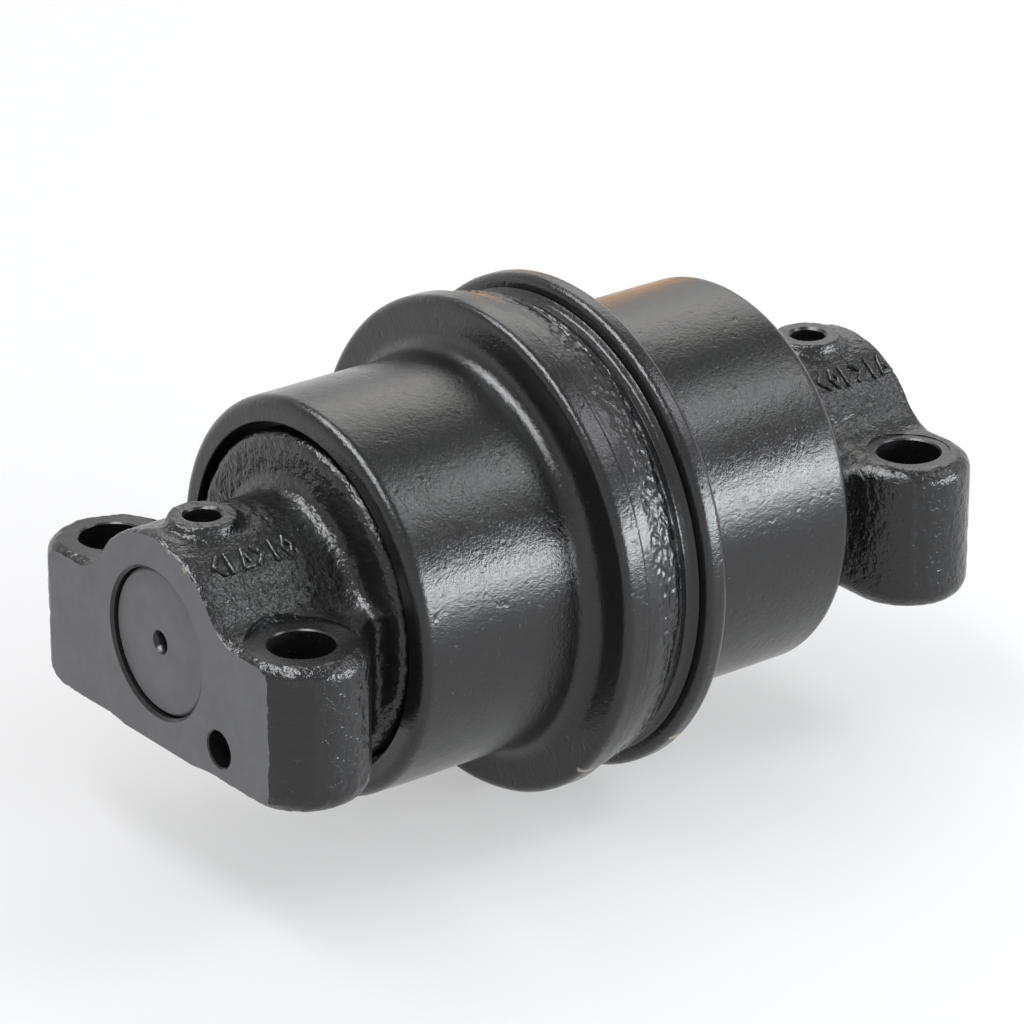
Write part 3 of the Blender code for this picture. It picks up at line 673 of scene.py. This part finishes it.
def foundry_marks(name, side, middle_out, order):
    """A row of marks on a boss, one every 5.4 mm. Each point (u, v) lies u along the shaft and v round
    the boss: angle = MARK_ANGLE + v / BOSS."""
    points, quads, caps, count = [], [], [], 0
    for place, which in enumerate(order):
        out = middle_out + (place - (len(order) - 1) / 2) * 5.4
        u, v = np.array(MARKS[which], float).T
        angle = MARK_ANGLE + v / BOSS
        line = np.stack([(BOSS - 0.1) * np.cos(angle), side * out + u, (BOSS - 0.1) * np.sin(angle)], 1)
        for start, end in zip(line, line[1:]):
            more, sides, tips = stroke(start, end, 1.0)
            points.append(more)
            quads.append(sides + count)
            caps.append(tips + count)
            count += len(more)
    return fill_mesh(name, np.concatenate(points), [np.concatenate(quads), np.concatenate(caps)])


marks_front = foundry_marks("raised_marks_front", -1, 123.0, [0, 1, 2, 3, 4, 5])
marks_rear = foundry_marks("raised_marks_rear", 1, 130.0, [5, 0, 4, 2, 1, 3])

# %% [markdown]
# Shaft, pins and plug
#
# The shaft is ground bar with a drilled centre in each end, left from turning it between centres. A
# pin through each collar's nub and the shaft keeps it from turning, and a plug with a hexagonal
# socket closes the oil filling hole. All are turned outlines. The socket's rows are scaled by
# 1 / cos of the angle from the nearest flat, which turns their circle into a hexagon.

# %% Shaft, pins and plug
CENTRE = [(0, 128.0), (2.7, 129.5), (2.7, 143.4), (4.1, SHAFT_END)]
END = [*CENTRE, (SHAFT - 1.3, SHAFT_END), (SHAFT - 0.9, SHAFT_END - 0.1), (SHAFT - 0.05, SHAFT_END - 1.1)]


def hexagon(row, angle):
    """1 / cos of the angle from the nearest flat in the socket's rows, 1 in the others."""
    flat = (angle + pi / 6) % (pi / 3) - pi / 6
    return np.where((row >= 1) & (row <= 4), 1 / np.cos(flat), 1)


def pin(name, side):
    outline = [(0, -14.5), (4.7, -14.5), (5.7, -13.5), (5.7, 30.0), (4.7, 31.0), (2.0, 31.0), (0, 29.6)]
    return cutter(name, outline, 48, side, "Z", (0, HOLE_OUT))


half = END + [(SHAFT - 0.05, 22.5), (SHAFT - 1.4, 21)]
outline = half + [(radius, -out) for radius, out in reversed(half)]
shaft = turned("ground_shaft", np.array(outline), 128, 1, closed=False)
carve(shaft, [cutter(f"pin{side}", [(0, -15), (PIN_HOLE, -15), (PIN_HOLE, 30), (0, 30)], 48, side, "Z",
                     (0, HOLE_OUT)) for side in (-1, 1)])
pin_front, pin_rear = pin("pin_front", -1), pin("pin_rear", 1)
socket = [(0, 134.0), (3.0, 134.2), (3.0, 135.0), (3.0, 138.5), (3.25, PLUG_FRONT - 0.1), (3.6, PLUG_FRONT),
          (5.1, PLUG_FRONT), (PLUG_RADIUS, PLUG_FRONT - 0.7), (PLUG_RADIUS, PLUG_BACK), (0, PLUG_BACK)]
plug = turned("socket_plug", np.array(socket), 96, 1, closed=False, shape=hexagon)
plug.data.transform(Matrix.Translation((PLUG_X * MM, 0, PLUG_Z * MM)) @ Matrix.Scale(-1, 4, (0, 1, 0)))
plug.data.flip_normals()
for piece in (shaft, pin_front, pin_rear, plug):
    piece.data.set_sharp_from_angle(angle=SHARP)

# %% [markdown]
# Which body each piece rides on
#
# The shells and the weld turn. Everything else stays with the track frame. Each piece stands for
# its CAD node, which stays hidden for collision, and names a slot.

# %% Bodies, nodes and slots
rows = [
    (shell_front, "roller", "shell_half_front", "shell_paint"),
    (shell_rear, "roller", "shell_half_rear", "shell_paint"),
    (weld, "roller", "centre_weld", "weld_paint"),
    (collar_front, "frame_side", "collar_front", "casting_paint"),
    (collar_rear, "frame_side", "collar_rear", "casting_paint"),
    (marks_front, "frame_side", "collar_front", "casting_paint"),
    (marks_rear, "frame_side", "collar_rear", "casting_paint"),
    (shaft, "frame_side", "shaft", "shaft_face_paint"),
    (pin_front, "frame_side", "lock_pin_front", "pin_steel"),
    (pin_rear, "frame_side", "lock_pin_rear", "pin_steel"),
    (plug, "frame_side", "oil_plug", "pin_steel"),
]
for piece, body, node, slot_name in rows:
    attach(piece, body)
    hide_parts(node)
print(f"{len(rows)} pieces on their bodies")

# %% [markdown]
# The black paint
#
# The whole roller is sprayed in one coat of semi-gloss black over every skin, so the finishes differ
# by what lies under the paint: fine pitted forging scale, coarse sand grain, the rippled weld, and
# smooth machined faces that look greyer because their fine grooves blur the reflection. One helper
# makes them all. Its lengths are millimetres: it scales Object coordinates by 1000, adds up the
# heights of some noises and hands them to a Bump node whose distance is one millimetre.

# %% Material helper
def paint(name, colour, roughness, spread, grain, metallic=0.0, spots=(), worn=(0.3, 0.25, 0.2), dust=0.0,
          stretch=(1, 1, 1)):
    """grain lists (size, height, detail, sharpness): the size of its bumps and their height, in
    millimetres. A sharpness above 0 leaves only pits, the part of the noise under that value.
    spots lists (x, y, z, radius, length along Y) of places where the worn colour shows. stretch
    squeezes every pattern along an axis, which makes grooves."""
    made = bpy.data.materials.new(name)
    made.use_nodes = True
    tree = made.node_tree
    shader = tree.nodes["Principled BSDF"]
    shader.inputs["Metallic"].default_value = metallic
    place = tree.nodes.new("ShaderNodeTexCoord").outputs["Object"]
    scale = tree.nodes.new("ShaderNodeMapping")
    scale.inputs["Scale"].default_value = tuple(1000 * part for part in stretch)
    tree.links.new(place, scale.inputs["Vector"])
    place = scale.outputs["Vector"]

    def noise(size, detail):
        node = tree.nodes.new("ShaderNodeTexNoise")
        node.inputs["Scale"].default_value = 1 / size
        node.inputs["Detail"].default_value = detail
        tree.links.new(place, node.inputs["Vector"])
        return node.outputs["Fac"]

    def spread_over(value, low, high, bottom, top):
        node = tree.nodes.new("ShaderNodeMapRange")
        node.inputs["From Min"].default_value, node.inputs["From Max"].default_value = low, high
        node.inputs["To Min"].default_value, node.inputs["To Max"].default_value = bottom, top
        tree.links.new(value, node.inputs["Value"])
        return node.outputs["Result"]

    def both(operation, a, b):
        node = tree.nodes.new("ShaderNodeMath")
        node.operation = operation
        for socket, value in zip(node.inputs, (a, b)):
            if isinstance(value, (int, float)):
                socket.default_value = value
            else:
                tree.links.new(value, socket)
        return node.outputs["Value"]

    def mixed(mask, a, b):
        node = tree.nodes.new("ShaderNodeMix")
        node.data_type = "RGBA"
        tree.links.new(mask, node.inputs[0])
        for socket, value in ((node.inputs[6], a), (node.inputs[7], b)):
            if isinstance(value, tuple):
                socket.default_value = (*value, 1)
            else:
                tree.links.new(value, socket)
        return node.outputs[2]

    height = None
    for size, amount, detail, pits in grain:
        rise = noise(size, detail)
        if pits:
            rise = spread_over(rise, 0.0, pits, -amount, 0)
        else:
            rise = spread_over(rise, 0.2, 0.8, -amount / 2, amount / 2)
        height = rise if height is None else both("ADD", height, rise)
    bump = tree.nodes.new("ShaderNodeBump")
    bump.inputs["Distance"].default_value = MM
    tree.links.new(height, bump.inputs["Height"])
    tree.links.new(bump.outputs["Normal"], shader.inputs["Normal"])
    rough = spread_over(noise(4.0, 3), 0.3, 0.7, roughness - spread, roughness + spread)
    tone = mixed(noise(9.0, 4), tuple(0.8 * c for c in colour), tuple(1.25 * c for c in colour))
    if dust:
        specks = spread_over(noise(0.9, 2), 0.70, 0.78, 0, dust)
        tone = mixed(specks, tone, (0.35, 0.33, 0.3))
    for x, y, z, radius, length in spots:
        gap = tree.nodes.new("ShaderNodeVectorMath")
        gap.operation = "SUBTRACT"
        gap.inputs[1].default_value = (x, y, z)
        tree.links.new(place, gap.inputs[0])
        squeeze = tree.nodes.new("ShaderNodeVectorMath")
        squeeze.operation = "MULTIPLY"
        squeeze.inputs[1].default_value = (1, radius / length, 1)
        tree.links.new(gap.outputs[0], squeeze.inputs[0])
        far = tree.nodes.new("ShaderNodeVectorMath")
        far.operation = "LENGTH"
        tree.links.new(squeeze.outputs[0], far.inputs[0])
        ragged = both("ADD", far.outputs["Value"], spread_over(noise(1.6, 4), 0.2, 0.8, -radius, radius))
        mask = spread_over(ragged, 0.75 * radius, radius, 1, 0)
        tone = mixed(mask, tone, worn)
        rough = both("MAXIMUM", rough, both("MULTIPLY", mask, 0.6))
    tree.links.new(tone, shader.inputs["Base Color"])
    tree.links.new(rough, shader.inputs["Roughness"])
    return made


def wear(objects, *materials):
    for obj in objects:
        slots = obj.data.materials
        if len(slots) > len(materials):
            slots.clear()
        for i, made in enumerate(materials):
            if i < len(slots):
                slots[i] = made
            else:
                slots.append(made)


# %% Finishes
BLACK = (0.008, 0.008, 0.0085)
forged = paint("forged_black", BLACK, 0.17, 0.03,
               [(0.5, 0.06, 2, 0), (1.5, 0.075, 3, 0), (3.4, 0.22, 1, 0.36)],
               spots=[(61, -20.5, -60.5, 1.6, 5), (64, 17.5, -57.5, 1.5, 3.0)], dust=0.2)
weld_black = paint("weld_black", BLACK, 0.25, 0.05, [(0.6, 0.03, 3, 0), (1.8, 0.1, 3, 0)])
cast = paint("cast_black", BLACK, 0.19, 0.04,
             [(0.8, 0.09, 3, 0), (2.4, 0.36, 3, 0), (3.0, 0.4, 2, 0.38)], dust=0.2)
milled = paint("milled_black", (0.098, 0.099, 0.102), 0.5, 0.04, [(0.5, 0.012, 2, 0), (2.4, 0.1, 1, 0.3)],
               spots=[(62.8, -147, 6, 1.3, 1), (63.4, -147, -4, 1.1, 1), (63, -147, -15, 1.3, 1),
                      (17.5, -147, 32, 1.0, 1), (9, -147, 35.3, 0.9, 1)], dust=0.2)
bored = paint("bored_black", BLACK, 0.26, 0.04, [(0.5, 0.02, 2, 0), (5.0, 0.02, 2, 0)], dust=0.2)
ground = paint("ground_black", BLACK, 0.3, 0.05, [(1.6, 0.3, 3, 0)], stretch=(0.1, 0.1, 1.4))
shaft_black = paint("shaft_black", (0.096, 0.097, 0.1), 0.48, 0.04,
                    [(0.5, 0.012, 2, 0), (2.8, 0.1, 1, 0.3)], dust=0.2)
steel = paint("dark_steel", (0.12, 0.12, 0.125), 0.35, 0.05, [(0.6, 0.01, 2, 0)], metallic=0.6)
bronze = paint("turned_bronze", (0.52, 0.34, 0.12), 0.34, 0.05, [(0.8, 0.006, 2, 0)], metallic=1.0)
iron = paint("lapped_iron", (0.30, 0.30, 0.31), 0.3, 0.05, [(0.8, 0.006, 2, 0)], metallic=1.0)
rubber = paint("seal_rubber_black", (0.018, 0.018, 0.018), 0.6, 0.06, [(0.6, 0.01, 2, 0)])
wear([shell_front, shell_rear], forged)
wear([weld], weld_black)
wear([collar_front, collar_rear], cast, milled, bored, ground)
wear([marks_front, marks_rear], cast)
wear([shaft], shaft_black, bored)
middle = np.empty(len(shaft.data.polygons) * 3, np.float32)
shaft.data.polygons.foreach_get("center", middle)
x, _, z = (middle.reshape(-1, 3) / MM).T
shaft.data.polygons.foreach_set("material_index", (np.hypot(x, z) < 3.6).astype(np.int32))
wear([pin_front, pin_rear, plug], steel)
for name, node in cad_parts.items():
    if name.startswith("bushing"):
        wear([node], bronze)
    elif name.startswith("seal_ring"):
        wear([node], iron)
    elif "rubber" in name or "o_ring" in name:
        wear([node], rubber)

# %% [markdown]
# Floor and light
#
# The roller rests on its flanges on a pale studio floor. Black gloss paint shows almost nothing but
# its surroundings, so the light is a set of large soft cards: a low bright strip to the right, which
# draws the long highlight, a box high up and one to the rear, in an even white room that is darker
# overhead. A card is a plane that glows, brightest in its middle and fading at its edges.

# %% Floor
def plane(name, points):
    mesh = bpy.data.meshes.new(name)
    mesh.from_pydata(points, [], [(0, 1, 2, 3)])
    obj = bpy.data.objects.new(name, mesh)
    bpy.context.scene.collection.objects.link(obj)
    return obj


floor = plane("floor", [(-9, -9, 0), (9, -9, 0), (9, 9, 0), (-9, 9, 0)])
floor.location.z = -(FLANGE + 0.1) * MM
floor_finish = bpy.data.materials.new("pale_floor")
floor_finish.use_nodes = True
floor_shader = floor_finish.node_tree.nodes["Principled BSDF"]
floor_shader.inputs["Base Color"].default_value = (0.47, 0.47, 0.475, 1)
floor_shader.inputs["Roughness"].default_value = 0.9
floor_shader.inputs["Specular IOR Level"].default_value = 0.1
floor_shader.inputs["Emission Color"].default_value = (1, 1, 1, 1)
floor_shader.inputs["Emission Strength"].default_value = 0.42  # a lit table: it keeps the shadows pale
floor.data.materials.append(floor_finish)

# %% Cards of light
def card(name, direction, distance, width, height, strength, tint, fade):
    """A glowing plane that faces the roller. Its strength falls smoothly to 0 over the outer part
    of each side, from fade (0 to 1) outwards."""
    obj = plane(name, [(-1, -1, 0), (1, -1, 0), (1, 1, 0), (-1, 1, 0)])
    way = Vector(direction).normalized()
    obj.rotation_euler = way.to_track_quat("Z", "Y").to_euler()
    obj.location = way * distance
    obj.scale = (width / 2, height / 2, 1)
    obj.visible_camera = False
    made = bpy.data.materials.new(name)
    made.use_nodes = True
    tree = made.node_tree
    tree.nodes.remove(tree.nodes["Principled BSDF"])
    split = tree.nodes.new("ShaderNodeSeparateXYZ")
    tree.links.new(tree.nodes.new("ShaderNodeTexCoord").outputs["Object"], split.inputs[0])
    total = None
    for axis in (0, 1):
        size = tree.nodes.new("ShaderNodeMath")
        size.operation = "ABSOLUTE"
        tree.links.new(split.outputs[axis], size.inputs[0])
        fall = tree.nodes.new("ShaderNodeMapRange")
        fall.interpolation_type = "SMOOTHSTEP"
        fall.inputs["From Min"].default_value, fall.inputs["From Max"].default_value = fade, 1
        fall.inputs["To Min"].default_value = 1 if total else strength
        fall.inputs["To Max"].default_value = 0
        tree.links.new(size.outputs[0], fall.inputs["Value"])
        if total:
            product = tree.nodes.new("ShaderNodeMath")
            product.operation = "MULTIPLY"
            tree.links.new(total, product.inputs[0])
            tree.links.new(fall.outputs[0], product.inputs[1])
            total = product.outputs[0]
        else:
            total = fall.outputs[0]
    glow = tree.nodes.new("ShaderNodeEmission")
    glow.inputs["Color"].default_value = (*tint, 1)
    tree.links.new(total, glow.inputs["Strength"])
    tree.links.new(glow.outputs[0], tree.nodes["Material Output"].inputs["Surface"])
    obj.data.materials.append(made)
    return obj


card("low_strip", (0.81, 0.57, 0.15), 2.4, 2.3, 0.5, 24.0, (0.92, 0.97, 1.0), 0.6)
card("high_box", (0.39, 0.56, 0.73), 2.4, 1.25, 0.95, 6.3, (0.97, 0.98, 1.0), 0.5)
card("rear_box", (-0.52, 0.55, 0.62), 2.4, 1.8, 1.7, 2.8, (1.0, 0.99, 0.97), 0.5)
card("front_top_strip", (-0.1, -0.33, 0.94), 2.4, 3.4, 0.42, 7.0, (0.97, 0.98, 1.0), 0.6)
sheen = card("edge_sheen", (-0.1, -0.33, 0.94), 2.3, 3.4, 1.05, 13.0, (0.97, 0.98, 1.0), 0.6)
sheen.visible_shadow = sheen.visible_diffuse = False  # seen only as a reflection, in rounded edges
warm = card("warm_board", (-0.775, 0.63, 0.03), 0.8, 0.11, 0.24, 1.5, (0.95, 0.6, 0.34), 0.6)
warm.visible_shadow = warm.visible_diffuse = False

# %% Room
world = bpy.data.worlds.new("room")
bpy.context.scene.world = world
world.use_nodes = True
nodes, links = world.node_tree.nodes, world.node_tree.links
split = nodes.new("ShaderNodeSeparateXYZ")
links.new(nodes.new("ShaderNodeTexCoord").outputs["Generated"], split.inputs[0])
ramp_node = nodes.new("ShaderNodeValToRGB")
links.new(split.outputs["Z"], ramp_node.inputs[0])
steps = ramp_node.color_ramp.elements
steps[0].position, steps[0].color = 0.0, (1.12, 1.12, 1.13, 1)
steps[1].position, steps[1].color = 1.0, (0.45, 0.45, 0.46, 1)
middle = steps.new(0.55)
middle.color = (0.6, 0.6, 0.61, 1)
links.new(ramp_node.outputs[0], nodes["Background"].inputs["Color"])
nodes["Background"].inputs["Strength"].default_value = 1.1

# %% [markdown]
# The camera
#
# A long lens from the front right, a little above, sees the machined face of the near collar and
# both treads. The view transform is Standard, so that a white card stays as white as it is.

# %% Camera
CAMERA_AT = (1.3147, -1.0216, 0.7315)  # in metres
FOCAL_LENGTH = 190.1
right = Vector((0.6128, 0.7903, 0))
up = Vector((-0.3153, 0.2445, 0.9169))
back = Vector((0.7246, -0.5618, 0.399))
lens = bpy.data.cameras.new("camera")
lens.lens, lens.sensor_width = FOCAL_LENGTH, 36
lens.clip_start, lens.clip_end = 0.05, 50
camera = bpy.data.objects.new("camera", lens)
bpy.context.scene.collection.objects.link(camera)
turn = Matrix((right, up, back)).transposed().to_4x4()
camera.matrix_world = Matrix.Translation(CAMERA_AT) @ turn
bpy.context.scene.camera = camera
bpy.context.scene.view_settings.view_transform = "Standard"
